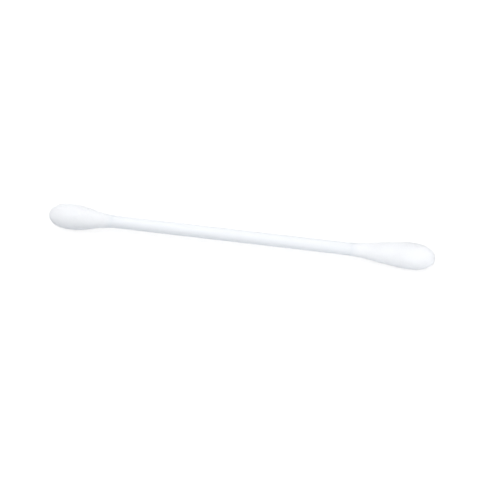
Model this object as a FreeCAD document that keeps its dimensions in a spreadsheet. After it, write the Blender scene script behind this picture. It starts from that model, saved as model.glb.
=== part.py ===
import FreeCAD, Part
import math
import os
import Sketcher

# A double-ended cotton swab lying on a flat surface, in millimetres.
# The stick runs along X with its middle at X = 0, and the surface it lies on is Z = 0.
# Each head is drawn in its own frame: the tip at the origin, the stick running away along +X.

# Driving dimensions: name, value, what it measures
SIZES = [
    ("swab_length", 73.0, "tip to tip"),
    ("stem_diameter", 2.4, "outside of the plastic stick"),
    ("stem_bore", 1.4, "inside of the plastic stick"),
    ("end_cover", 1.8, "cotton in front of the stick's cut end"),
    ("head_diameter", 4.85, "wound cotton at its widest"),
    ("left_head_length", 11.7, "the shorter head, tip of the cotton to the end of its tail"),
    ("right_head_length", 14.4, "the longer head, tip of the cotton to the end of its tail"),
    ("widest_from_tip", 4.6, "tip of the cotton to its widest point"),
    ("nose_radius", 1.85, "rounding of the cotton's tip"),
    ("shoulder_radius", 12.0, "rounding behind the widest point, where the flank begins"),
    ("hollow_radius", 2.5, "rounding where the flank runs out on the stick"),
    ("tail_cotton", 0.06, "thickness of the cotton where its tail ends"),
    ("rest_flat", 0.05, "how far the soft cotton is pressed flat where it lies"),
    ("grip_rings", 5, "rings pressed into each end of the stick"),
    ("grip_pitch", 1.4, "one ring to the next"),
    ("grip_width", 0.5, "width of a ring"),
    ("grip_depth", 0.12, "depth of a ring"),
    ("grip_from_end", 1.0, "the stick's cut end to the first ring"),
]

# Dimensions worked out from those above: name, formula, what it measures
WORKED_OUT = [
    ("stem_length", "=swab_length - 2 * end_cover", "the stick, cut end to cut end"),
    ("stem_radius", "=stem_diameter / 2", "outside of the stick"),
    ("bore_radius", "=stem_bore / 2", "inside of the stick"),
    ("ring_outer_x", "=stem_length / 2 - grip_from_end", "the first ring's end nearest the cut end"),
    ("ring_inner_x", "=ring_outer_x - grip_width", "the first ring's other end"),
    ("ring_floor", "=stem_radius - grip_depth", "the stick's radius inside a ring"),
    ("ring_clear", "=stem_radius + grip_depth", "reach of the ring's cutter, clear of the stick"),
    ("head_radius", "=head_diameter / 2", "the cotton at its widest"),
    ("tail_radius", "=stem_radius + tail_cotton", "the cotton at the end of its tail"),
    ("tip_radius", "=min(nose_radius; 0.95 * head_radius)", "the nose's rounding, if the head has room"),
    ("flank_drop", "=head_radius - tail_radius", "what the head loses in radius along its flank"),
    ("left_run", "=left_head_length - widest_from_tip", "the left head's flank, along the stick"),
    ("right_run", "=right_head_length - widest_from_tip", "the right head's flank, along the stick"),
    ("left_room", "=(left_run^2 + flank_drop^2) / (2 * flank_drop)", "both roundings, with no straight part"),
    ("right_room", "=(right_run^2 + flank_drop^2) / (2 * flank_drop)", "both roundings, with no straight part"),
    ("left_shoulder", "=min(shoulder_radius; 0.9 * left_room - hollow_radius)", "if the flank has room"),
    ("right_shoulder", "=min(shoulder_radius; 0.9 * right_room - hollow_radius)", "if the flank has room"),
    ("axis_height", "=head_radius - rest_flat", "the stick's axis above the surface"),
]

document = FreeCAD.newDocument("cotton_swab")


# The sheet of dimensions
def make_sheet():
    sheet = document.addObject("Spreadsheet::Sheet", "sizes")
    rows = [(name, str(value), note) for name, value, note in SIZES] + WORKED_OUT
    for row, (name, content, note) in enumerate(rows, start=1):
        sheet.set("A%d" % row, name)
        sheet.set("B%d" % row, content)
        sheet.setAlias("B%d" % row, name)
        sheet.set("C%d" % row, note)
    document.recompute()
    return sheet


sheet = make_sheet()


def size(name):
    return float(sheet.get(name))


# Helpers for bodies and their sketches
def origin_feature(body, role):
    for feature in body.Origin.OriginFeatures:
        if feature.Role == role:
            return feature
    raise ValueError("the body has no origin feature " + role)


def new_sketch(body, role, name):
    sketch = body.newObject("Sketcher::SketchObject", name)
    sketch.AttachmentSupport = [(origin_feature(body, role), "")]
    sketch.MapMode = "FlatFace"
    return sketch


def constrain(sketch, *terms):
    return sketch.addConstraint(Sketcher.Constraint(*terms))


def drive(sketch, cell, *terms):
    """Adds a constraint that is named for a cell of the sheet and takes its value from it."""
    index = constrain(sketch, *terms, size(cell))
    sketch.renameConstraint(index, cell)
    sketch.setExpression("Constraints." + cell, "sizes." + cell)


def point(x, y):
    return FreeCAD.Vector(x, y, 0)


def circle(centre, radius):
    return Part.Circle(centre, FreeCAD.Vector(0, 0, 1), radius)


def arc(centre, start, end):
    """An arc of a circle about the centre, anticlockwise from one point to another."""
    angles = [math.atan2(place.y - centre.y, place.x - centre.x) for place in (start, end)]
    if angles[1] <= angles[0]:
        angles[1] += 2 * math.pi
    return Part.ArcOfCircle(circle(centre, centre.distanceToPoint(start)), *angles)


def rectangle(sketch, low, high):
    """Four sides from the low corner: 0 bottom, 1 right, 2 top, 3 left."""
    corners = [low, point(high.x, low.y), high, point(low.x, high.y)]
    for side in range(4):
        sketch.addGeometry(Part.LineSegment(corners[side], corners[(side + 1) % 4]), False)
    for side in range(4):
        constrain(sketch, "Coincident", side, 2, (side + 1) % 4, 1)
        constrain(sketch, "Vertical" if side % 2 else "Horizontal", side)


# The rod: the stick's outside, with grip rings pressed into both ends
def make_rod():
    body = document.addObject("PartDesign::Body", "rod")
    section = new_sketch(body, "YZ_Plane", "rod_section")
    section.addGeometry(circle(point(0, 0), size("stem_radius")), False)
    constrain(section, "Coincident", 0, 3, -1, 1)
    drive(section, "stem_diameter", "Diameter", 0)
    length = body.newObject("PartDesign::Pad", "rod_length")
    length.Profile = section
    length.SideType = "Symmetric"
    length.setExpression("Length", "sizes.stem_length")
    document.recompute()

    ring = new_sketch(body, "XZ_Plane", "grip_ring_section")
    low = point(size("ring_inner_x"), size("ring_floor"))
    high = point(size("ring_outer_x"), size("ring_clear"))
    rectangle(ring, low, high)
    drive(ring, "ring_inner_x", "DistanceX", -1, 1, 0, 1)
    drive(ring, "ring_outer_x", "DistanceX", -1, 1, 0, 2)
    drive(ring, "ring_floor", "DistanceY", -1, 1, 0, 1)
    drive(ring, "ring_clear", "DistanceY", -1, 1, 2, 1)
    groove = body.newObject("PartDesign::Groove", "grip_ring")
    groove.Profile = ring
    groove.ReferenceAxis = (ring, ["H_Axis"])
    groove.Angle = 360
    document.recompute()

    # The ring is repeated towards the middle, and the whole row mirrored to the other end
    rings = body.newObject("PartDesign::MultiTransform", "grip")
    rings.Originals = [groove]
    row = body.newObject("PartDesign::LinearPattern", "grip_row")
    row.Direction = (origin_feature(body, "X_Axis"), [""])
    row.Reversed = True
    row.Mode = "Spacing"
    row.setExpression("Offset", "sizes.grip_pitch")
    row.setExpression("Occurrences", "sizes.grip_rings")
    other_end = body.newObject("PartDesign::Mirrored", "grip_other_end")
    other_end.MirrorPlane = (origin_feature(body, "YZ_Plane"), [""])
    rings.Transformations = [row, other_end]
    body.Tip = rings
    body.setExpression(".Placement.Base.z", "sizes.axis_height")
    document.recompute()
    return body


# The stick itself: the rod, bored from end to end
def make_stem(rod):
    bore = document.addObject("Part::Cylinder", "bore")
    bore.setExpression("Radius", "sizes.bore_radius")
    bore.setExpression("Height", "sizes.stem_length")
    bore.Placement.Rotation = FreeCAD.Rotation(FreeCAD.Vector(0, 1, 0), 90)
    bore.setExpression(".Placement.Base.x", "-sizes.stem_length / 2")
    bore.setExpression(".Placement.Base.z", "sizes.axis_height")
    stem = document.addObject("Part::Cut", "stem")
    stem.Base = rod
    stem.Tool = bore
    return stem


# The outline of a head, from its tip to its tail, with the arcs' centres and joints
def head_outline(sketch, side):
    tip = point(0, 0)
    tail_end = point(size(side + "_head_length"), 0)
    tail = point(tail_end.x, size("tail_radius"))
    widest = point(size("widest_from_tip"), size("head_radius"))
    nose_centre = point(size("tip_radius"), 0)

    # The cheek arc touches the nose arc and is level at the widest point
    reach = widest.x**2 + widest.y**2 - 2 * widest.x * nose_centre.x
    cheek_radius = reach / (2 * (widest.y - nose_centre.x))
    cheek_centre = point(widest.x, widest.y - cheek_radius)
    nose_joint = nose_centre + (nose_centre - cheek_centre).normalize() * nose_centre.x

    # From there a shoulder arc, a straight flank and a hollow arc lead to the tail, level at both ends
    shoulder_radius = size(side + "_shoulder")
    hollow_radius = size("hollow_radius")
    shoulder_centre = point(widest.x, widest.y - shoulder_radius)
    hollow_centre = point(tail.x, tail.y + hollow_radius)
    between = hollow_centre - shoulder_centre
    slope = math.asin((shoulder_radius + hollow_radius) / between.Length) - math.atan2(between.y, between.x)
    outward = point(math.sin(slope), math.cos(slope))
    flank_start = shoulder_centre + outward * shoulder_radius
    flank_end = hollow_centre - outward * hollow_radius

    nose, cheek, shoulder, flank, hollow, end, axis = range(7)
    sketch.addGeometry(arc(nose_centre, nose_joint, tip), False)
    sketch.addGeometry(arc(cheek_centre, widest, nose_joint), False)
    sketch.addGeometry(arc(shoulder_centre, flank_start, widest), False)
    sketch.addGeometry(Part.LineSegment(flank_start, flank_end), False)
    sketch.addGeometry(arc(hollow_centre, flank_end, tail), False)
    sketch.addGeometry(Part.LineSegment(tail, tail_end), False)
    sketch.addGeometry(Part.LineSegment(tail_end, tip), False)

    constrain(sketch, "Coincident", nose, 2, -1, 1)
    constrain(sketch, "PointOnObject", nose, 3, -1)
    drive(sketch, "tip_radius", "Radius", nose)
    constrain(sketch, "Tangent", nose, 1, cheek, 2)
    constrain(sketch, "Tangent", cheek, 1, shoulder, 2)
    constrain(sketch, "Vertical", cheek, 3, cheek, 1)
    drive(sketch, "widest_from_tip", "DistanceX", -1, 1, cheek, 1)
    drive(sketch, "head_radius", "DistanceY", -1, 1, cheek, 1)
    drive(sketch, side + "_shoulder", "Radius", shoulder)
    constrain(sketch, "Tangent", shoulder, 1, flank, 1)
    constrain(sketch, "Tangent", flank, 2, hollow, 1)
    drive(sketch, "hollow_radius", "Radius", hollow)
    constrain(sketch, "Vertical", hollow, 3, hollow, 2)
    drive(sketch, side + "_head_length", "DistanceX", -1, 1, hollow, 2)
    drive(sketch, "tail_radius", "DistanceY", -1, 1, hollow, 2)
    constrain(sketch, "Coincident", end, 1, hollow, 2)
    constrain(sketch, "Vertical", end)
    constrain(sketch, "Coincident", axis, 1, end, 2)
    constrain(sketch, "Coincident", axis, 2, -1, 1)
    constrain(sketch, "Horizontal", axis)


# The wound cotton before the stick is taken out of it, with the flat spot that it lies on
def make_wound_form(side):
    body = document.addObject("PartDesign::Body", "wound_form_" + side)
    outline = new_sketch(body, "XZ_Plane", "head_outline_" + side)
    head_outline(outline, side)
    turned = body.newObject("PartDesign::Revolution", "wound_cotton_" + side)
    turned.Profile = outline
    turned.ReferenceAxis = (outline, ["H_Axis"])
    turned.Angle = 360
    document.recompute()

    # The surface presses away what would reach below it
    pressed = new_sketch(body, "XY_Plane", "pressed_area_" + side)
    pressed.setExpression(".AttachmentOffset.Base.z", "-sizes.axis_height")
    low = point(0, -size("head_radius"))
    high = point(size(side + "_head_length"), size("head_radius"))
    rectangle(pressed, low, high)
    constrain(pressed, "Symmetric", 3, 1, 0, 1, -1, 1)
    drive(pressed, side + "_head_length", "DistanceX", 0, 1, 0, 2)
    drive(pressed, "head_diameter", "DistanceY", 1, 1, 1, 2)
    flat = body.newObject("PartDesign::Pocket", "rest_flat_" + side)
    flat.Profile = pressed
    flat.Type = "ThroughAll"
    document.recompute()
    return body


# A head: the wound cotton, seated on the rod and gripping its rings
def make_head(side, turn, tip_formula, rod):
    form = make_wound_form(side)
    form.Placement.Rotation = FreeCAD.Rotation(FreeCAD.Vector(0, 0, 1), turn)
    form.setExpression(".Placement.Base.x", tip_formula)
    form.setExpression(".Placement.Base.z", "sizes.axis_height")
    head = document.addObject("Part::Cut", "cotton_head_" + side)
    head.Base = form
    head.Tool = rod
    return head


rod = make_rod()
nodes = [
    make_stem(rod),
    make_head("left", 0, "-sizes.swab_length / 2", rod),
    make_head("right", 180, "sizes.swab_length / 2", rod),
]
for node in nodes:
    node.Label = node.Name
document.recompute()


# Every object recomputed, and every node a whole, valid solid
def check():
    for item in document.Objects:
        if "Invalid" in item.State or "Error" in item.State:
            raise RuntimeError(item.Name + " did not recompute")
    for node in nodes:
        if node.Shape.isNull() or not node.Shape.isValid() or len(node.Shape.Solids) != 1:
            raise RuntimeError(node.Label + " is not one valid solid")


check()
os.makedirs("parts", exist_ok=True)
for node in nodes:
    node.Shape.exportStep("parts/" + node.Label + ".step")
    print(node.Label, "volume %.3f mm3" % node.Shape.Volume)
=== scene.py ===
"""A double-ended cotton swab: wound cotton heads on an extruded stick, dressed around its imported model.

Everything is in metres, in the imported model's own frame: the stick runs along X, +Z is up, and the
surface that the swab lies on is Z = 0.
"""

import logging
import math
from collections.abc import Sequence
from dataclasses import dataclass
from enum import Enum

import bpy
import numpy as np
from mathutils import Matrix, Vector


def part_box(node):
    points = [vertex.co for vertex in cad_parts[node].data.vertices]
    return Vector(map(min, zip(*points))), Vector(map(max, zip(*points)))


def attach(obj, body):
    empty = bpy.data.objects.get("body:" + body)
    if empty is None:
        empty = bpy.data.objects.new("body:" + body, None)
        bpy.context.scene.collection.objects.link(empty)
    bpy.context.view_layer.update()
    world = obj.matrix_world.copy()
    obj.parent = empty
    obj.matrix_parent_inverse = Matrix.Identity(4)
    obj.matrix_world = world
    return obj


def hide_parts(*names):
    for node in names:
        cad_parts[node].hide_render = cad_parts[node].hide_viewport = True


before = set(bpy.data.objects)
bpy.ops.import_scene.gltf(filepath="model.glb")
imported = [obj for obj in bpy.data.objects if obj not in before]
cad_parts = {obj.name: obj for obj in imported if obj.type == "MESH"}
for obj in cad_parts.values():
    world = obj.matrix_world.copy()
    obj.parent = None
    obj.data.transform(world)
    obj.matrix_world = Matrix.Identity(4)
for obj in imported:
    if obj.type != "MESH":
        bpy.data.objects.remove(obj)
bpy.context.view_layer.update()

MM = 0.001
BODY = "root"
WHITE = "FFFFFF"
LOG = logging.getLogger("swab")

# A noise texture's values lie about this one, so taking it away leaves as many hollows as rises
NOISE_MIDDLE = 0.5

# Red, green and blue light scatter equally deep inside the cotton and the plastic
EVEN_SCATTER = (1.0, 1.0, 1.0)

# The inputs of the Geometry Nodes trees that are named after fields of the classes that set them
DRAW_LINE_INPUTS = ("Line width", "Line height", "Seed")
RELIEF_INPUTS = (
    "Lump size", "Lump height", "Lap pitch", "Lap height", "Lap bend", "Lap lean", "Strand width",
    "Strand length", "Strand height", "Strand bend", "Pressed softness",
)
FIBRE_INPUTS = (
    "Density", "Shortest", "Longest", "Turn", "Turn spread", "Rise", "Curl", "Bends per metre",
    "Thickness", "End share", "Swelling",
)
FIBRE_COUNTS = ("Points", "Sides")


class Side(Enum):
    """The end of the stick that a head is wound on; the value is the way from its tip to the middle."""

    LEFT = 1
    RIGHT = -1

    @property
    def word(self) -> str:
        """The side as it stands in the names of nodes and pieces."""
        return self.name.lower()


class FibreLay(Enum):
    """How the loose fibres of one group lie; the value ends the names of their pieces."""

    WOUND = "wound_fibres"
    FUZZ = "fuzz"
    TAIL = "tail_fibres"

    @property
    def where(self) -> str:
        """The head's attribute that says where such fibres are."""
        return "tail" if self is FibreLay.TAIL else "open"


@dataclass(frozen=True)
class SwabSizes:
    """The swab's sizes in metres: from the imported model's boxes, and the few that they don't show."""

    half_length: float
    axis_height: float
    stick_radius: float
    stick_half: float
    head_radius: float
    left_head_length: float
    right_head_length: float
    bore_radius: float = 0.7 * MM
    widest_from_tip: float = 4.6 * MM
    shoulder_radius: float = 12.0 * MM
    hollow_radius: float = 2.5 * MM
    tail_cotton: float = 0.06 * MM
    tail_reach: float = 1.3 * MM
    grip_rings: int = 5
    grip_pitch: float = 1.4 * MM
    grip_width: float = 0.5 * MM
    grip_depth: float = 0.12 * MM
    grip_from_end: float = 1.0 * MM

    @classmethod
    def from_frame(cls) -> "SwabSizes":
        """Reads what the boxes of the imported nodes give.

        Returns:
            The sizes of this swab.
        """
        stick_low, stick_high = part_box("stem")
        left_low, left_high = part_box("cotton_head_left")
        right_low, right_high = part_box("cotton_head_right")
        return cls(
            half_length=right_high.x,
            axis_height=(stick_low.z + stick_high.z) / 2,
            stick_radius=(stick_high.z - stick_low.z) / 2,
            stick_half=stick_high.x,
            head_radius=(right_high.y - right_low.y) / 2,
            left_head_length=left_high.x - left_low.x,
            right_head_length=right_high.x - right_low.x,
        )

    @property
    def end_cover(self) -> float:
        """Cotton in front of the stick's cut end."""
        return self.half_length - self.stick_half

    def head_length(self, side: Side) -> float:
        """Gives a head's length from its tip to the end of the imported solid."""
        return self.left_head_length if side is Side.LEFT else self.right_head_length

    def cotton_length(self, side: Side) -> float:
        """Gives the length from a head's tip to its last fibres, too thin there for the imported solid."""
        return self.head_length(side) + self.tail_reach

    def flank_radii(self, side: Side, places: np.ndarray) -> np.ndarray:
        """Gives a head's radius behind its widest point: a round shoulder and then a straight flank.

        The flank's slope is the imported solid's, which comes from the hollow that its flank runs into.

        Args:
            side: the end that the head is on.
            places: distances from the tip, between the widest point and the hollow.

        Returns:
            The radius at each place.
        """
        shoulder, hollow = self.shoulder_radius, self.hollow_radius
        run = self.head_length(side) - self.widest_from_tip
        rise = self.stick_radius + self.tail_cotton + hollow - self.head_radius + shoulder
        slope = math.asin((shoulder + hollow) / math.hypot(run, rise)) - math.atan2(rise, run)
        from_widest = places - self.widest_from_tip
        shoulder_end = shoulder * math.sin(slope)
        under_root = np.clip(shoulder**2 - from_widest**2, 0, None)
        shoulder_radii = self.head_radius - shoulder + np.sqrt(under_root)
        flank_start = self.head_radius - shoulder * (1 - math.cos(slope))
        flank = flank_start - (from_widest - shoulder_end) * math.tan(slope)
        return np.where(from_widest < shoulder_end, shoulder_radii, flank)

    def ring_outline(self) -> list[tuple[float, float]]:
        """Gives the grip rings' steps, from the stick's cut end inwards.

        Returns:
            Distance from the cut end and radius of each corner.
        """
        floor = self.stick_radius - self.grip_depth
        steps = []
        for ring in range(self.grip_rings):
            start = self.grip_from_end + ring * self.grip_pitch
            steps += [
                (start, self.stick_radius), (start, floor),
                (start + self.grip_width, floor), (start + self.grip_width, self.stick_radius),
            ]
        return steps


def linear(hex_colour: str) -> tuple[float, float, float, float]:
    """Turns an sRGB colour into the linear one that shaders and lamps take.

    Args:
        hex_colour: six hex digits, such as F4F7FA.

    Returns:
        Linear red, green and blue, and an alpha of 1.
    """
    values = [int(hex_colour[place:place + 2], 16) / 255 for place in (0, 2, 4)]
    red, green, blue = (v / 12.92 if v <= 0.04045 else ((v + 0.055) / 1.055) ** 2.4 for v in values)
    return red, green, blue, 1.0


def set_inputs(node: bpy.types.Node, inputs: dict[int | str, object]) -> None:
    """Gives a node its values and links.

    Args:
        node: the node.
        inputs: for each input, by name or by place, a value, an output, or a node, which stands for its
            first output.
    """
    usable = [socket for socket in node.inputs if socket.enabled]
    for key, value in inputs.items():
        socket = usable[key] if isinstance(key, int) else next(s for s in usable if s.name == key)
        if isinstance(value, bpy.types.Node):
            value = next(output for output in value.outputs if output.enabled)
        if isinstance(value, bpy.types.NodeSocket):
            node.id_data.links.new(value, socket)
        else:
            socket.default_value = value


def add_node(
    tree: bpy.types.NodeTree, kind: str, inputs: dict[int | str, object] | None = None, **settings: object
) -> bpy.types.Node:
    """Adds one node with its settings, values and links.

    Args:
        tree: the node tree it goes into.
        kind: the node's type.
        inputs: its values and links, as set_inputs takes them.
        settings: the node's own properties, such as operation.

    Returns:
        The new node.
    """
    node = tree.nodes.new(kind)
    for name, value in settings.items():
        setattr(node, name, value)
    set_inputs(node, inputs or {})
    return node


def new_tree(
    name: str, inputs: dict[str, tuple[str, ...]]
) -> tuple[bpy.types.NodeTree, bpy.types.bpy_prop_collection]:
    """Starts a Geometry Nodes tree that takes and gives a geometry, and takes a material.

    Args:
        name: the tree's name.
        inputs: the names of its further inputs, by their kind, such as Float.

    Returns:
        The tree, and all its inputs by name.
    """
    tree = bpy.data.node_groups.new(name, "GeometryNodeTree")
    tree.interface.new_socket(name="Geometry", in_out="OUTPUT", socket_type="NodeSocketGeometry")
    for kind, names in {"Geometry": ("Geometry",), **inputs, "Material": ("Material",)}.items():
        for input_name in names:
            tree.interface.new_socket(name=input_name, in_out="INPUT", socket_type="NodeSocket" + kind)
    return tree, add_node(tree, "NodeGroupInput").outputs


def field_values(holder: object, names: tuple[str, ...]) -> dict[str, object]:
    """Reads inputs' values from the fields they are named after, such as lump_size for "Lump size"."""
    return {name: getattr(holder, name.lower().replace(" ", "_")) for name in names}


def end_tree(tree: bpy.types.NodeTree, geometry: bpy.types.Node, material: bpy.types.NodeSocket) -> None:
    """Ends a tree with real, smooth geometry that wears its material.

    Args:
        tree: the tree to end.
        geometry: the node that gives the geometry.
        material: the output that gives the material.
    """
    whole = add_node(tree, "GeometryNodeRealizeInstances", {"Geometry": geometry})
    smooth = add_node(tree, "GeometryNodeSetShadeSmooth", {"Geometry": whole})
    dressed = add_node(tree, "GeometryNodeSetMaterial", {"Geometry": smooth, "Material": material})
    add_node(tree, "NodeGroupOutput", {"Geometry": dressed})


def add_object(name: str, data: bpy.types.ID) -> bpy.types.Object:
    """Puts a mesh, a lamp or a camera into the scene.

    Args:
        name: the object's name.
        data: the mesh, lamp or camera.

    Returns:
        Its object, at the origin.
    """
    holder = bpy.data.objects.new(name, data)
    bpy.context.scene.collection.objects.link(holder)
    return holder


def run_tree(
    base: bpy.types.Mesh, tree: bpy.types.NodeTree, values: dict[str, object], name: str
) -> bpy.types.Object:
    """Runs a Geometry Nodes tree on a mesh and makes the result a plain object at the origin.

    Args:
        base: the mesh that goes in.
        tree: the tree to run.
        values: the value of each named input.
        name: the new object's name.

    Returns:
        The object that holds the result.
    """
    carrier = add_object(name + "_carrier", base)
    modifier = carrier.modifiers.new(tree.name, "NODES")
    modifier.node_group = tree
    for item in tree.interface.items_tree:
        if item.in_out == "INPUT" and item.name in values:
            modifier[item.identifier] = values[item.name]
    depsgraph = bpy.context.evaluated_depsgraph_get()
    mesh = bpy.data.meshes.new_from_object(
        carrier.evaluated_get(depsgraph), preserve_all_data_layers=True, depsgraph=depsgraph
    )
    bpy.data.objects.remove(carrier)
    mesh.name = name
    return add_object(name, mesh)


def point_places(mesh: bpy.types.Mesh) -> np.ndarray:
    """Reads where a mesh's points are.

    Args:
        mesh: the mesh.

    Returns:
        One row of X, Y and Z for each point.
    """
    places = np.empty(len(mesh.vertices) * 3)
    mesh.vertices.foreach_get("co", places)
    return places.reshape(-1, 3)


def set_attribute(mesh: bpy.types.Mesh, name: str, values: Sequence[float]) -> None:
    """Gives each point of a mesh a value, which trees and materials read by its name."""
    mesh.attributes.new(name, "FLOAT", "POINT").data.foreach_set("value", values)


def turned_mesh(outline: list[tuple[float, float]], around: int, ring: bool) -> bpy.types.Mesh:
    """Turns an outline about the X axis into a closed mesh with outward faces and a UV map.

    Args:
        outline: places along the axis and radii, with the solid on the right-hand side.
        around: points around the axis.
        ring: True if the last place joins the first, False if the outline runs from axis to axis.

    Returns:
        The mesh, with its distance along the outline in the attribute "along".
    """
    rows = np.array(outline + outline[:1] if ring else outline)
    along = np.concatenate([[0.0], np.cumsum(np.hypot(*np.diff(rows, axis=0).T))])
    first = 0 if ring else 1
    turned = rows[first:-1]
    count = len(turned)
    angles = np.arange(around) * 2 * math.pi / around
    places = np.empty((count, around, 3))
    places[:, :, 0] = turned[:, :1]
    places[:, :, 1] = turned[:, 1:] * np.sin(angles)
    places[:, :, 2] = turned[:, 1:] * np.cos(angles)
    points = places.reshape(-1, 3).tolist()
    point_along = np.repeat(along[first:-1], around).tolist()

    faces: list[tuple[int, ...]] = []
    corners: list[tuple[float, float]] = []
    for row in range(count if ring else count - 1):
        here, there = row * around, (row + 1) % count * around
        low, high = along[first + row], along[first + row + 1]
        for turn in range(around):
            beside = (turn + 1) % around
            faces.append((here + turn, there + turn, there + beside, here + beside))
            corners += [(turn, low), (turn, high), (turn + 1, high), (turn + 1, low)]

    # Where the outline starts and ends on the axis, one point each closes the mesh
    if not ring:
        start, end, rim = len(points), len(points) + 1, (count - 1) * around
        points += [[rows[0, 0], 0, 0], [rows[-1, 0], 0, 0]]
        point_along += [along[0], along[-1]]
        for turn in range(around):
            beside = (turn + 1) % around
            faces.append((start, turn, beside))
            corners += [(turn + 0.5, along[0]), (turn, along[1]), (turn + 1, along[1])]
            faces.append((end, rim + beside, rim + turn))
            corners += [(turn + 0.5, along[-1]), (turn + 1, along[-2]), (turn, along[-2])]
    mesh = bpy.data.meshes.new("turned")
    mesh.from_pydata(points, [], faces)
    uv = mesh.uv_layers.new(name="surface")
    uv.data.foreach_set("uv", (np.array(corners) / (around, along[-1])).ravel())
    set_attribute(mesh, "along", point_along)
    return mesh


@dataclass
class Stick:
    """The extruded plastic stick: a bored tube with grip rings and faint lengthwise draw lines."""

    sizes: SwabSizes
    around: int = 96
    ring_spacing: float = 1.0 * MM
    line_width: float = 0.12 * MM
    line_height: float = 0.004 * MM
    bare_over: float = 3.0 * MM
    seed: float = 3.0

    def outline(self) -> list[tuple[float, float]]:
        """Gives the closed section from the left cut end along the outside and back through the bore.

        Returns:
            Places along X and radii.
        """
        sizes = self.sizes
        grip = sizes.ring_outline()
        plain_half = sizes.stick_half - grip[-1][0] - self.ring_spacing
        plain = np.linspace(-plain_half, plain_half, round(2 * plain_half / self.ring_spacing))
        return [
            (-sizes.stick_half, sizes.stick_radius),
            *((place - sizes.stick_half, radius) for place, radius in grip),
            *((float(place), sizes.stick_radius) for place in plain),
            *((sizes.stick_half - place, radius) for place, radius in reversed(grip)),
            (sizes.stick_half, sizes.stick_radius),
            (sizes.stick_half, sizes.bore_radius),
            (-sizes.stick_half, sizes.bore_radius),
        ]

    @staticmethod
    def draw_line_tree() -> bpy.types.NodeTree:
        """Builds the tree that raises the die's draw lines, which keep their place all along the stick.

        Returns:
            The Geometry Nodes tree.
        """
        tree, size = new_tree("stick_draw_lines", {"Float": DRAW_LINE_INPUTS})
        place = add_node(tree, "GeometryNodeInputPosition")
        across = add_node(
            tree, "ShaderNodeVectorMath", {0: place, 1: (0.0, 1.0, 1.0)}, operation="MULTIPLY"
        )
        scale = add_node(tree, "ShaderNodeMath", {0: 1.0, 1: size["Line width"]}, operation="DIVIDE")
        lines = add_node(
            tree, "ShaderNodeTexNoise",
            {"Vector": across, "W": size["Seed"], "Scale": scale, "Detail": 1.0}, noise_dimensions="4D",
        )
        centred = add_node(tree, "ShaderNodeMath", {0: lines, 1: NOISE_MIDDLE}, operation="SUBTRACT")
        height = add_node(
            tree, "ShaderNodeMath", {0: centred, 1: size["Line height"]}, operation="MULTIPLY"
        )
        normal = add_node(tree, "GeometryNodeInputNormal")
        offset = add_node(tree, "ShaderNodeVectorMath", {0: normal, "Scale": height}, operation="SCALE")
        moved = add_node(
            tree, "GeometryNodeSetPosition", {"Geometry": size["Geometry"], "Offset": offset}
        )
        end_tree(tree, moved, size["Material"])
        return tree

    def build(self, finish: bpy.types.Material) -> bpy.types.Object:
        """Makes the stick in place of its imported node.

        Its attribute "bare" is 0 below the cotton and rises to 1 away from it.

        Args:
            finish: the plastic.

        Returns:
            The finished piece.
        """
        sizes = self.sizes
        mesh = turned_mesh(self.outline(), self.around, ring=True)
        mesh.transform(Matrix.Translation((0, 0, sizes.axis_height)))
        along_stick = point_places(mesh)[:, 0]
        from_left = along_stick + sizes.half_length - sizes.cotton_length(Side.LEFT)
        from_right = sizes.half_length - sizes.cotton_length(Side.RIGHT) - along_stick
        bare = np.clip(np.minimum(from_left, from_right) / self.bare_over, 0, 1)
        set_attribute(mesh, "bare", bare)
        values = field_values(self, DRAW_LINE_INPUTS)
        piece = run_tree(mesh, self.draw_line_tree(), {**values, "Material": finish}, "stick")
        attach(piece, BODY)
        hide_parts("stem")
        return piece


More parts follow.
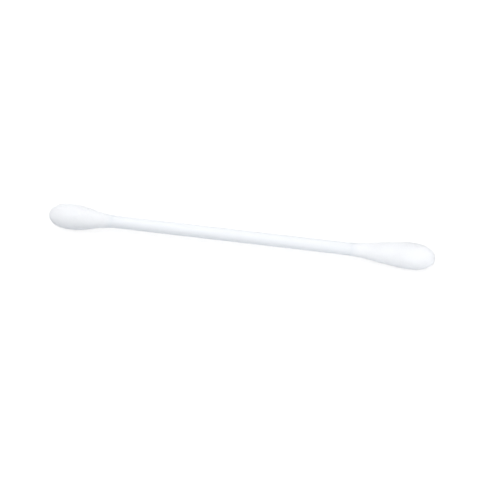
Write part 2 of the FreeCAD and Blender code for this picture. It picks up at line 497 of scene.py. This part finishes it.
@dataclass
class CottonHead:
    """One wound cotton head: a teardrop over the stick's end that thins out to a ragged tail."""

    sizes: SwabSizes
    side: Side
    seed: int
    around: int = 256
    nose_rows: int = 90
    flank_rows: int = 150
    tail_rows: int = 110
    nose_power: float = 2.46
    tail_edge: float = 0.012 * MM
    tail_run: float = 5.0 * MM
    tail_power: float = 1.8
    tail_waves: tuple[int, ...] = (1, 2, 3, 5, 8, 13)
    tail_ragged: float = 0.45 * MM
    tail_ragged_power: int = 2
    tail_teeth: float = 0.28 * MM
    tail_teeth_power: int = 4
    tail_ragged_over: float = 2.0 * MM
    seat_clearance: float = 0.002 * MM
    lump_size: float = 3.0 * MM
    lump_height: float = 0.07 * MM
    lap_pitch: float = 2.4 * MM
    lap_height: float = 0.007 * MM
    lap_bend: float = 4.0
    lap_lean: float = 0.6
    strand_width: float = 0.16 * MM
    strand_length: float = 2.2 * MM
    strand_height: float = 0.014 * MM
    strand_bend: float = 14.0
    pressed_softness: float = 0.04 * MM

    def outline(self) -> tuple[list[tuple[float, float]], int]:
        """Gives the head's section, from its tip over the tail's edge and back along the seat.

        Returns:
            Distances from the tip and radii, and how many of them lie on the open face.
        """
        sizes = self.sizes
        length = sizes.cotton_length(self.side)
        turn = np.linspace(0, math.pi / 2, self.nose_rows)
        nose = sizes.widest_from_tip * (1 - np.cos(turn))
        nose_radius = sizes.head_radius * np.sqrt(1 - np.cos(turn) ** self.nose_power)
        flank = np.linspace(sizes.widest_from_tip, length - self.tail_run, self.flank_rows)[1:]
        flank_radius = sizes.flank_radii(self.side, flank)

        # The tail falls a little faster than the flank at first and flattens out to its thin edge
        tail = np.linspace(length - self.tail_run, length, self.tail_rows)[1:]
        edge_radius = sizes.stick_radius + self.tail_edge
        left_over = (length - tail) / self.tail_run
        tail_radius = edge_radius + (flank_radius[-1] - edge_radius) * left_over**self.tail_power

        places = np.concatenate([nose, flank, tail])
        radii = np.concatenate([nose_radius, flank_radius, tail_radius])
        open_face = [*zip(places.tolist(), radii.tolist())]
        clearance = self.seat_clearance
        seat = [(length, sizes.stick_radius + clearance)]
        seat += [(sizes.end_cover + place, r + clearance) for place, r in reversed(sizes.ring_outline())]
        seat += [(sizes.end_cover, sizes.stick_radius + clearance), (sizes.end_cover, 0.0)]
        return open_face + seat, len(open_face)

    def smooth_mesh(self) -> bpy.types.Mesh:
        """Makes the head before its relief, in its place on the stick.

        Returns:
            The mesh, with three attributes that are 0 on the seat: "open" is 1 on the open face and falls
            to 0 at the tail's edge, "tail" rises there from 0 to 1, and "cover" is how thick the cotton is
            over the stick, from 1 at the widest point and before it to 0.
        """
        sizes = self.sizes
        outline, open_rows = self.outline()
        mesh = turned_mesh(outline, self.around, ring=False)
        points = point_places(mesh)

        # The tail's edge wanders in slow waves, and at its very end it has fine teeth
        from_tail = sizes.cotton_length(self.side) - points[:, 0]
        near_tail = np.clip(1 - from_tail / self.tail_ragged_over, 0, 1)
        angle = np.arctan2(points[:, 1], points[:, 2])
        random = np.random.default_rng(self.seed)
        ragged = np.zeros(len(points))
        for waves in self.tail_waves:
            ragged += np.sin(waves * angle + random.uniform(0, 2 * math.pi)) / math.sqrt(waves)
        ragged = (ragged - ragged.max()) / np.ptp(ragged)
        teeth = np.resize(random.uniform(-1, 0, self.around), len(points))
        wander = ragged * self.tail_ragged * near_tail**self.tail_ragged_power
        points[:, 0] += wander + teeth * self.tail_teeth * near_tail**self.tail_teeth_power

        # The open face's rows come first, and the tip's own point last but one
        outside = np.zeros(len(points))
        outside[:(open_rows - 1) * self.around] = 1
        outside[-2] = 1
        set_attribute(mesh, "open", outside * (1 - near_tail))
        set_attribute(mesh, "tail", outside * near_tail)
        thickness = np.hypot(points[:, 1], points[:, 2]) - sizes.stick_radius
        cover = np.clip(thickness / (sizes.head_radius - sizes.stick_radius), 0, 1)
        cover[points[:, 0] < sizes.widest_from_tip] = 1
        set_attribute(mesh, "cover", outside * cover)

        # Each head goes to its own end of the stick, the right one turned half round
        points[:, 0] = self.side.value * (points[:, 0] - sizes.half_length)
        points[:, 1] *= self.side.value
        points[:, 2] += sizes.axis_height
        mesh.vertices.foreach_set("co", points.ravel())
        mesh.update()
        return mesh

    @staticmethod
    def relief_tree() -> bpy.types.NodeTree:
        """Builds the tree that raises lumps, wound laps and strands, and presses the cotton flat below.

        Returns:
            The Geometry Nodes tree.
        """
        tree, size = new_tree("wound_relief", {"Float": RELIEF_INPUTS + ("Axis height", "Seed")})
        place = add_node(tree, "GeometryNodeInputPosition")
        split = add_node(tree, "ShaderNodeSeparateXYZ", {0: place})
        above = add_node(
            tree, "ShaderNodeMath", {0: split.outputs["Z"], 1: size["Axis height"]}, operation="SUBTRACT"
        )
        along = add_node(tree, "GeometryNodeInputNamedAttribute", {"Name": "along"}, data_type="FLOAT")

        # Broad lumps, as soft cotton has where it was wound unevenly
        lump_scale = add_node(tree, "ShaderNodeMath", {0: 1.0, 1: size["Lump size"]}, operation="DIVIDE")
        lumps = add_node(
            tree, "ShaderNodeTexNoise",
            {"Vector": place, "W": size["Seed"], "Scale": lump_scale, "Detail": 1.0}, noise_dimensions="4D",
        )
        lump = add_node(tree, "ShaderNodeMath", {0: lumps, 1: NOISE_MIDDLE}, operation="SUBTRACT")
        lump_height = add_node(
            tree, "ShaderNodeMath", {0: lump, 1: size["Lump height"]}, operation="MULTIPLY"
        )

        # Laps run round the stick as a screw does: one edge of each is steeper, and the lumps bend them
        angle = add_node(tree, "ShaderNodeMath", {0: split.outputs["Y"], 1: above}, operation="ARCTAN2")
        turns = add_node(tree, "ShaderNodeMath", {0: angle, 1: 2 * math.pi}, operation="DIVIDE")
        pitches = add_node(tree, "ShaderNodeMath", {0: along, 1: size["Lap pitch"]}, operation="DIVIDE")
        screw = add_node(tree, "ShaderNodeMath", {0: turns, 1: pitches}, operation="ADD")
        bent = add_node(
            tree, "ShaderNodeMath", {0: lump, 1: size["Lap bend"], 2: screw}, operation="MULTIPLY_ADD"
        )
        phase = add_node(tree, "ShaderNodeMath", {0: bent, 1: 2 * math.pi}, operation="MULTIPLY")
        lean = add_node(tree, "ShaderNodeMath", {0: phase}, operation="SINE")
        leaning = add_node(
            tree, "ShaderNodeMath", {0: lean, 1: size["Lap lean"], 2: phase}, operation="MULTIPLY_ADD"
        )
        lap = add_node(tree, "ShaderNodeMath", {0: leaning}, operation="SINE")
        lap_height = add_node(tree, "ShaderNodeMath", {0: lap, 1: size["Lap height"]}, operation="MULTIPLY")

        # Strands are narrow along the head and long around it, and the lumps bend them too
        narrow = add_node(tree, "ShaderNodeMath", {0: along, 1: size["Strand width"]}, operation="DIVIDE")
        meander = add_node(
            tree, "ShaderNodeMath", {0: lump, 1: size["Strand bend"], 2: narrow}, operation="MULTIPLY_ADD"
        )
        sideways = add_node(
            tree, "ShaderNodeMath", {0: split.outputs["Y"], 1: size["Strand length"]}, operation="DIVIDE"
        )
        upward = add_node(tree, "ShaderNodeMath", {0: above, 1: size["Strand length"]}, operation="DIVIDE")
        stretched = add_node(tree, "ShaderNodeCombineXYZ", {0: meander, 1: sideways, 2: upward})
        strands = add_node(
            tree, "ShaderNodeTexNoise",
            {"Vector": stretched, "W": size["Seed"], "Scale": 1.0, "Detail": 1.0}, noise_dimensions="4D",
        )
        strand = add_node(tree, "ShaderNodeMath", {0: strands, 1: NOISE_MIDDLE}, operation="SUBTRACT")
        strand_height = add_node(
            tree, "ShaderNodeMath", {0: strand, 1: size["Strand height"]}, operation="MULTIPLY"
        )

        # All of it fades out towards the tail's edge and is absent inside the seat
        coarse = add_node(tree, "ShaderNodeMath", {0: lump_height, 1: lap_height}, operation="ADD")
        height = add_node(tree, "ShaderNodeMath", {0: coarse, 1: strand_height}, operation="ADD")
        openness = add_node(tree, "GeometryNodeInputNamedAttribute", {"Name": "open"}, data_type="FLOAT")
        faded = add_node(tree, "ShaderNodeMath", {0: height, 1: openness}, operation="MULTIPLY")
        normal = add_node(tree, "GeometryNodeInputNormal")
        offset = add_node(tree, "ShaderNodeVectorMath", {0: normal, "Scale": faded}, operation="SCALE")
        raised = add_node(
            tree, "GeometryNodeSetPosition", {"Geometry": size["Geometry"], "Offset": offset}
        )

        # The surface below presses away what would reach under it
        raised_place = add_node(tree, "GeometryNodeInputPosition")
        raised_split = add_node(tree, "ShaderNodeSeparateXYZ", {0: raised_place})
        pressed = add_node(
            tree, "ShaderNodeMath",
            {0: raised_split.outputs["Z"], 1: 0.0, 2: size["Pressed softness"]}, operation="SMOOTH_MAX",
        )
        pressed_place = add_node(
            tree, "ShaderNodeCombineXYZ",
            {0: raised_split.outputs["X"], 1: raised_split.outputs["Y"], 2: pressed},
        )
        flattened = add_node(
            tree, "GeometryNodeSetPosition", {"Geometry": raised, "Position": pressed_place}
        )
        end_tree(tree, flattened, size["Material"])
        return tree

    def build(self, relief: bpy.types.NodeTree, finish: bpy.types.Material) -> bpy.types.Object:
        """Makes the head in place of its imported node.

        Args:
            relief: the tree that gives wound cotton its relief.
            finish: the cotton.

        Returns:
            The finished piece.
        """
        name = "cotton_" + self.side.word
        piece = run_tree(self.smooth_mesh(), relief, {
            **field_values(self, RELIEF_INPUTS),
            "Axis height": self.sizes.axis_height,
            "Seed": float(self.seed),
            "Material": finish,
        }, name)
        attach(piece, BODY)
        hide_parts("cotton_head_" + self.side.word)
        return piece


@dataclass(frozen=True)
class LooseFibres:
    """One group of fine loose fibres on a head: wound ones, standing fuzz, or the wisps at its tail."""

    lay: FibreLay
    density: float
    shortest: float
    longest: float
    turn: float
    turn_spread: float
    rise: float
    curl: float = 0.5 * MM
    bends_per_metre: float = 900.0
    thickness: float = 0.013 * MM
    end_share: float = 0.4
    points: int = 7
    sides: int = 3

    @property
    def swelling(self) -> float:
        """What a fibre's middle has over the thickness of its ends, as a share of the whole."""
        return 1 - self.end_share

    @staticmethod
    def fibre_tree() -> bpy.types.NodeTree:
        """Builds the tree that scatters short curved fibres over a head and lays them on the cotton.

        Returns:
            The Geometry Nodes tree.
        """
        tree, size = new_tree("loose_fibres", {
            "Object": ("Stick",),
            "String": ("Where",),
            "Float": FIBRE_INPUTS,
            "Int": FIBRE_COUNTS + ("Seed",),
        })

        # Roots on the head, each turned from the way round the stick by its own angle
        share = add_node(
            tree, "GeometryNodeInputNamedAttribute", {"Name": size["Where"]}, data_type="FLOAT"
        )
        density = add_node(tree, "ShaderNodeMath", {0: share, 1: size["Density"]}, operation="MULTIPLY")
        roots = add_node(
            tree, "GeometryNodeDistributePointsOnFaces",
            {"Mesh": size["Geometry"], "Density": density, "Seed": size["Seed"]},
        )
        normal = roots.outputs["Normal"]
        around = add_node(
            tree, "ShaderNodeVectorMath", {0: (1.0, 0.0, 0.0), 1: normal}, operation="CROSS_PRODUCT"
        )
        facing = add_node(
            tree, "FunctionNodeAxesToRotation", {"Primary Axis": normal, "Secondary Axis": around},
            primary_axis="Z", secondary_axis="X",
        )
        least = add_node(
            tree, "ShaderNodeMath", {0: size["Turn"], 1: size["Turn spread"]}, operation="SUBTRACT"
        )
        most = add_node(tree, "ShaderNodeMath", {0: size["Turn"], 1: size["Turn spread"]}, operation="ADD")
        angle = add_node(tree, "FunctionNodeRandomValue", {"Min": least, "Max": most, "Seed": size["Seed"]})
        turn = add_node(tree, "FunctionNodeAxisAngleToRotation", {"Axis": (0.0, 0.0, 1.0), "Angle": angle})
        turned = add_node(
            tree, "FunctionNodeRotateRotation", {"Rotation": facing, "Rotate By": turn},
            rotation_space="LOCAL",
        )
        length = add_node(
            tree, "FunctionNodeRandomValue",
            {"Min": size["Shortest"], "Max": size["Longest"], "Seed": size["Seed"]},
        )

        # A line of length 1 about its own middle, scaled to each fibre's length
        line = add_node(
            tree, "GeometryNodeCurvePrimitiveLine", {"Start": (-0.5, 0.0, 0.0), "End": (0.5, 0.0, 0.0)}
        )
        fine = add_node(tree, "GeometryNodeResampleCurve", {"Curve": line, "Count": size["Points"]})
        placed = add_node(
            tree, "GeometryNodeInstanceOnPoints",
            {"Points": roots, "Instance": fine, "Rotation": turned, "Scale": length},
        )
        lines = add_node(tree, "GeometryNodeRealizeInstances", {"Geometry": placed})

        # Each one is bent to and fro
        place = add_node(tree, "GeometryNodeInputPosition")
        bends = add_node(
            tree, "ShaderNodeTexNoise", {"Vector": place, "Scale": size["Bends per metre"], "Detail": 1.0}
        )
        sway = add_node(
            tree, "ShaderNodeVectorMath", {0: bends.outputs["Color"], 1: (NOISE_MIDDLE,) * 3},
            operation="SUBTRACT",
        )
        swayed = add_node(tree, "ShaderNodeVectorMath", {0: sway, "Scale": size["Curl"]}, operation="SCALE")
        bent = add_node(tree, "GeometryNodeSetPosition", {"Geometry": lines, "Offset": swayed})

        # Both ends lie on the cotton or the stick, the middle rises a little, and none is below the surface
        stick = add_node(tree, "GeometryNodeObjectInfo", {"Object": size["Stick"]})
        bed = add_node(tree, "GeometryNodeJoinGeometry", {"Geometry": size["Geometry"]})
        set_inputs(bed, {"Geometry": stick.outputs["Geometry"]})
        near = add_node(tree, "GeometryNodeProximity", {"Geometry": bed}, target_element="FACES")
        surface_normal = add_node(tree, "GeometryNodeInputNormal")
        outward = add_node(
            tree, "GeometryNodeSampleNearestSurface",
            {"Mesh": bed, "Value": surface_normal, "Sample Position": near.outputs["Position"]},
            data_type="FLOAT_VECTOR",
        )
        factor = add_node(tree, "GeometryNodeSplineParameter")
        half_turn = add_node(
            tree, "ShaderNodeMath", {0: factor.outputs["Factor"], 1: math.pi}, operation="MULTIPLY"
        )
        arch = add_node(tree, "ShaderNodeMath", {0: half_turn}, operation="SINE")
        uneven = add_node(tree, "ShaderNodeMath", {0: arch, 1: bends}, operation="MULTIPLY")
        rise = add_node(tree, "ShaderNodeMath", {0: uneven, 1: size["Rise"]}, operation="MULTIPLY")
        radius = add_node(tree, "ShaderNodeMath", {0: size["Thickness"], 1: 2.0}, operation="DIVIDE")
        height = add_node(tree, "ShaderNodeMath", {0: rise, 1: radius}, operation="ADD")
        lift = add_node(tree, "ShaderNodeVectorMath", {0: outward, "Scale": height}, operation="SCALE")
        laid = add_node(
            tree, "ShaderNodeVectorMath", {0: near.outputs["Position"], 1: lift}, operation="ADD"
        )
        split = add_node(tree, "ShaderNodeSeparateXYZ", {0: laid})
        above = add_node(tree, "ShaderNodeMath", {0: split.outputs["Z"], 1: radius}, operation="MAXIMUM")
        cleared = add_node(
            tree, "ShaderNodeCombineXYZ", {0: split.outputs["X"], 1: split.outputs["Y"], 2: above}
        )
        resting = add_node(tree, "GeometryNodeSetPosition", {"Geometry": bent, "Position": cleared})

        # A fibre swells from its ends to its middle, and a few sides are enough for something this fine
        section = add_node(
            tree, "GeometryNodeCurvePrimitiveCircle", {"Resolution": size["Sides"], "Radius": radius}
        )
        swelling = add_node(
            tree, "ShaderNodeMath", {0: arch, 1: size["Swelling"], 2: size["End share"]},
            operation="MULTIPLY_ADD",
        )
        fibres = add_node(
            tree, "GeometryNodeCurveToMesh",
            {"Curve": resting, "Profile Curve": section, "Scale": swelling, "Fill Caps": True},
        )
        end_tree(tree, fibres, size["Material"])
        return tree

    def build(
        self, tree: bpy.types.NodeTree, head: bpy.types.Object, stick: bpy.types.Object, seed: int,
        finish: bpy.types.Material,
    ) -> bpy.types.Object:
        """Makes this group on one head.

        Args:
            tree: the tree that scatters and lays the fibres.
            head: the finished head.
            stick: the finished stick.
            seed: what sets this group's own pattern.
            finish: the cotton.

        Returns:
            The finished piece.
        """
        piece = run_tree(head.data, tree, {
            **field_values(self, FIBRE_INPUTS + FIBRE_COUNTS),
            "Stick": stick,
            "Where": self.lay.where,
            "Seed": seed,
            "Material": finish,
        }, f"{head.name}_{self.lay.value}")
        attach(piece, BODY)
        return piece


@dataclass(frozen=True)
class BleachedCotton:
    """Bleached cotton fibre: matt white, soft to the eye and without gloss, as light scatters inside it."""

    name: str = "bleached_cotton"
    colour: str = "FDFDFE"
    # Painted shade: the hollows between the fibres take this darker, bluer white
    crevice_shade_colour: str = "F6F8FB"
    thin_colour: str = "EFF2F6"
    let_through: float = 0.0
    roughness: float = 0.95
    gloss: float = 0.1
    scatter_share: float = 0.35
    scatter_depth: float = 0.5 * MM
    sheen: float = 0.15

    # A cotton fibre is about 0.015 mm wide, too fine to show, so the pattern is drawn coarser
    fibre_width: float = 0.04 * MM
    fibre_run: float = 1.2 * MM
    fibre_detail: float = 3.0
    fibre_bend: float = 0.4
    bump_height: float = 0.004 * MM

    def build(self) -> bpy.types.Material:
        """Makes the material.

        Returns:
            The finished material.
        """
        material = bpy.data.materials.new(self.name)
        material.use_nodes = True
        tree = material.node_tree
        shader = tree.nodes["Principled BSDF"]

        # Fibres are narrow along the head and long around it, with a little painted shade in the hollows
        # between them
        where = add_node(tree, "ShaderNodeTexCoord")
        split = add_node(tree, "ShaderNodeSeparateXYZ", {0: where.outputs["Object"]})
        along = add_node(tree, "ShaderNodeAttribute", attribute_name="along")
        across, run = 1 / self.fibre_width, 1 / self.fibre_run
        narrow = add_node(
            tree, "ShaderNodeMath", {0: along.outputs["Fac"], 1: across}, operation="MULTIPLY"
        )
        sideways = add_node(tree, "ShaderNodeMath", {0: split.outputs["Y"], 1: run}, operation="MULTIPLY")
        upward = add_node(tree, "ShaderNodeMath", {0: split.outputs["Z"], 1: run}, operation="MULTIPLY")
        stretched = add_node(tree, "ShaderNodeCombineXYZ", {0: narrow, 1: sideways, 2: upward})
        fibres = add_node(tree, "ShaderNodeTexNoise", {
            "Vector": stretched, "Scale": 1.0, "Detail": self.fibre_detail, "Distortion": self.fibre_bend,
        })
        bump = add_node(
            tree, "ShaderNodeBump", {"Strength": 1.0, "Distance": self.bump_height, "Height": fibres}
        )
        tone = add_node(
            tree, "ShaderNodeMix",
            {"Factor": fibres, "A": linear(self.crevice_shade_colour), "B": linear(self.colour)}, data_type="RGBA",
        )

        # The plastic's cooler tone shows through where the tail thins out
        tail = add_node(tree, "ShaderNodeAttribute", attribute_name="tail")
        veiled = add_node(
            tree, "ShaderNodeMix",
            {"Factor": tail.outputs["Fac"], "A": tone, "B": linear(self.thin_colour)}, data_type="RGBA",
        )

        # Light goes less deep where the cotton is thin, or it would be lost inside and leave a grey ring
        cover = add_node(tree, "ShaderNodeAttribute", attribute_name="cover")
        depth = add_node(
            tree, "ShaderNodeMath", {0: cover.outputs["Fac"], 1: self.scatter_depth}, operation="MULTIPLY"
        )
        set_inputs(shader, {
            "Base Color": veiled,
            "Normal": bump,
            "Roughness": self.roughness,
            "Specular IOR Level": self.gloss,
            "Subsurface Weight": self.scatter_share,
            "Subsurface Radius": EVEN_SCATTER,
            "Subsurface Scale": depth,
            "Sheen Weight": self.sheen,
        })

        # A single fibre lets about half of the light through, which a wound mass doesn't
        if self.let_through:
            through = add_node(tree, "ShaderNodeBsdfTranslucent", {"Color": linear(self.colour)})
            both = add_node(tree, "ShaderNodeMixShader", {0: self.let_through, 1: shader, 2: through})
            set_inputs(tree.nodes["Material Output"], {"Surface": both})
        return material


@dataclass(frozen=True)
class ExtrudedPolypropylene:
    """White extruded polypropylene: waxy, a little translucent, with a soft low sheen and draw lines."""

    colour: str = "F3F5F8"
    line_colour: str = "EEF0F5"
    roughness: float = 0.5
    ior: float = 1.49
    scatter_share: float = 1.0
    scatter_depth: float = 0.35 * MM
    line_width: float = 0.06 * MM
    line_run: float = 25.0 * MM
    line_detail: float = 2.0
    bump_height: float = 0.003 * MM

    def build(self) -> bpy.types.Material:
        """Makes the material.

        Returns:
            The finished material.
        """
        material = bpy.data.materials.new("extruded_polypropylene")
        material.use_nodes = True
        tree = material.node_tree
        shader = tree.nodes["Principled BSDF"]

        # The die leaves fine lines along the stick, a little darker than the rest
        where = add_node(tree, "ShaderNodeTexCoord")
        across, run = 1 / self.line_width, 1 / self.line_run
        stretched = add_node(
            tree, "ShaderNodeMapping", {"Vector": where.outputs["Object"], "Scale": (run, across, across)}
        )
        lines = add_node(
            tree, "ShaderNodeTexNoise", {"Vector": stretched, "Scale": 1.0, "Detail": self.line_detail}
        )
        bump = add_node(
            tree, "ShaderNodeBump", {"Strength": 1.0, "Distance": self.bump_height, "Height": lines}
        )
        tone = add_node(
            tree, "ShaderNodeMix",
            {"Factor": lines, "A": linear(self.line_colour), "B": linear(self.colour)}, data_type="RGBA",
        )

        # Thin cotton passes light on, so the plastic isn't darker beside it, as deep scatter would make it
        bare = add_node(tree, "ShaderNodeAttribute", attribute_name="bare")
        depth = add_node(
            tree, "ShaderNodeMath", {0: bare.outputs["Fac"], 1: self.scatter_depth}, operation="MULTIPLY"
        )
        set_inputs(shader, {
            "Base Color": tone,
            "Normal": bump,
            "Roughness": self.roughness,
            "IOR": self.ior,
            "Subsurface Weight": self.scatter_share,
            "Subsurface Radius": EVEN_SCATTER,
            "Subsurface Scale": depth,
        })
        return material


def background_rays(tree: bpy.types.NodeTree) -> bpy.types.Node:
    """Tells the rays that show the background, seen straight, reflected or through something clear.

    Args:
        tree: the node tree of the surface or the surround.

    Returns:
        The node that gives 1 for such a ray and 0 for one that only brings light.
    """
    ray = add_node(tree, "ShaderNodeLightPath")
    seen = add_node(
        tree, "ShaderNodeMath", {0: ray.outputs["Is Camera Ray"], 1: ray.outputs["Is Glossy Ray"]},
        operation="MAXIMUM",
    )
    return add_node(
        tree, "ShaderNodeMath", {0: seen, 1: ray.outputs["Is Transmission Ray"]}, operation="MAXIMUM"
    )


@dataclass(frozen=True)
class PlainSurface:
    """The plain white surface below, which shows as white and keeps the swab's soft shadow."""

    colour: str = "DADDE0"
    half_width: float = 2.0
    own_light: float = 0.84
    lit_share: float = 0.26
    below: float = 0.005 * MM

    def build(self) -> None:
        """Lays the surface just below the swab."""
        material = bpy.data.materials.new("plain_surface")
        material.use_nodes = True
        tree = material.node_tree
        tree.nodes.clear()

        # Seen itself, it is white in full light and a little darker in the swab's shadow
        pale = add_node(tree, "ShaderNodeBsdfDiffuse", {"Color": linear(self.colour)})
        shaded = add_node(tree, "ShaderNodeBsdfDiffuse", {"Color": (self.lit_share,) * 3 + (1.0,)})
        glow = add_node(tree, "ShaderNodeEmission", {"Color": linear(WHITE), "Strength": self.own_light})
        white = add_node(tree, "ShaderNodeAddShader", {0: shaded, 1: glow})
        shown = add_node(tree, "ShaderNodeMixShader", {0: background_rays(tree), 1: pale, 2: white})
        add_node(tree, "ShaderNodeOutputMaterial", {"Surface": shown})
        half = self.half_width
        corners = [(-half, -half, 0), (half, -half, 0), (half, half, 0), (-half, half, 0)]
        mesh = bpy.data.meshes.new("plain_surface")
        mesh.from_pydata(corners, [], [(0, 1, 2, 3)])
        mesh.transform(Matrix.Translation((0, 0, -self.below)))
        mesh.materials.append(material)
        floor = add_object("plain_surface", mesh)


def look_from(
    holder: bpy.types.Object, azimuth: float, elevation: float, distance: float, aim: Sequence[float]
) -> None:
    """Places a lamp or the camera by its direction from a point, turned to look at that point.

    Args:
        holder: the lamp or the camera.
        azimuth: degrees from the front towards the right.
        elevation: degrees above the surface.
        distance: how far it is from the point.
        aim: the point.
    """
    around, up = math.radians(azimuth), math.radians(elevation)
    back = Vector((math.sin(around) * math.cos(up), -math.cos(around) * math.cos(up), math.sin(up)))
    holder.location = Vector(aim) + back * distance
    holder.rotation_euler = back.to_track_quat("Z", "Y").to_euler()


@dataclass(frozen=True)
class SoftBox:
    """One soft lamp, placed by its direction from the swab's middle."""

    name: str
    azimuth: float
    elevation: float
    distance: float
    width: float
    power: float
    colour: str = WHITE

    def build(self) -> None:
        """Puts the lamp in place, turned to the swab."""
        lamp = bpy.data.lights.new(self.name, "AREA")
        lamp.shape = "SQUARE"
        lamp.size = self.width
        lamp.energy = self.power
        lamp.color = linear(self.colour)[:3]
        look_from(add_object(self.name, lamp), self.azimuth, self.elevation, self.distance, (0, 0, 0))


@dataclass(frozen=True)
class Studio:
    """Plain soft light: an even pale surround, a large lamp above, a small one in front and one behind."""

    surround_colour: str = "F6F8FB"
    surround_level: float = 0.5
    lamps: tuple[SoftBox, ...] = (
        SoftBox("overhead_softbox", azimuth=-75.0, elevation=75.0, distance=0.4, width=0.3, power=0.97),
        SoftBox("front_softbox", azimuth=50.0, elevation=8.0, distance=0.14, width=0.08, power=0.066),
        SoftBox("back_softbox", azimuth=180.0, elevation=30.0, distance=0.3, width=0.2, power=0.08),
    )

    def build(self) -> None:
        """Sets the surround, which is plain white where it is seen itself, and the lamps."""
        world = bpy.data.worlds.new("studio")
        world.use_nodes = True
        tree = world.node_tree
        tree.nodes.clear()
        surround = add_node(tree, "ShaderNodeBackground", {
            "Color": linear(self.surround_colour), "Strength": self.surround_level,
        })
        white = add_node(tree, "ShaderNodeBackground", {"Color": linear(WHITE), "Strength": 1.0})
        shown = add_node(tree, "ShaderNodeMixShader", {0: background_rays(tree), 1: surround, 2: white})
        add_node(tree, "ShaderNodeOutputWorld", {"Surface": shown})
        bpy.context.scene.world = world
        for lamp in self.lamps:
            lamp.build()


@dataclass(frozen=True)
class Viewpoint:
    """The camera: a normal lens that looks down on the swab from its front, a little to the right."""

    lens: float = 50.0
    azimuth: float = 9.0
    elevation: float = 48.0
    distance: float = 130.7 * MM
    aim: tuple[float, float, float] = (2.65 * MM, -1.0 * MM, 0.0)
    nearest: float = 1.0 * MM
    farthest: float = 10.0

    def build(self) -> None:
        """Puts the scene's camera in place."""
        camera = bpy.data.cameras.new("viewpoint")
        camera.lens = self.lens
        camera.clip_start = self.nearest
        camera.clip_end = self.farthest
        holder = add_object("viewpoint", camera)
        look_from(holder, self.azimuth, self.elevation, self.distance, self.aim)
        bpy.context.scene.camera = holder


# What sets each head's random patterns; the groups of fibres on it count on from there
HEAD_SEEDS = {Side.LEFT: 11, Side.RIGHT: 23}

FIBRE_GROUPS = (
    LooseFibres(
        FibreLay.WOUND, density=7e6, shortest=0.8 * MM, longest=2.4 * MM, turn=0.0, turn_spread=0.5,
        rise=0.06 * MM,
    ),
    LooseFibres(
        FibreLay.FUZZ, density=2.5e6, shortest=0.5 * MM, longest=1.3 * MM, turn=0.0, turn_spread=math.pi,
        rise=0.45 * MM,
    ),
    LooseFibres(
        FibreLay.TAIL, density=7e6, shortest=0.8 * MM, longest=2.2 * MM, turn=math.pi / 2, turn_spread=0.4,
        rise=0.03 * MM,
    ),
)


def main() -> None:
    """Builds the swab, its stage, its light and its camera, and reports each piece."""
    logging.basicConfig(level=logging.INFO, format="%(name)s: %(message)s")
    bpy.context.scene.view_settings.view_transform = "Standard"
    Viewpoint().build()
    sizes = SwabSizes.from_frame()
    cotton = BleachedCotton().build()
    loose_cotton = BleachedCotton("loose_cotton_fibre", let_through=0.5).build()
    stick = Stick(sizes).build(ExtrudedPolypropylene().build())
    pieces = [stick]
    relief = CottonHead.relief_tree()
    fibre_tree = LooseFibres.fibre_tree()
    for side, seed in HEAD_SEEDS.items():
        head = CottonHead(sizes, side, seed).build(relief, cotton)
        pieces.append(head)
        for place, group in enumerate(FIBRE_GROUPS):
            pieces.append(group.build(fibre_tree, head, stick, seed + place, loose_cotton))
    PlainSurface().build()
    Studio().build()
    for piece in pieces:
        LOG.info("%s: %d faces", piece.name, len(piece.data.polygons))


if __name__ == "__main__":
    main()
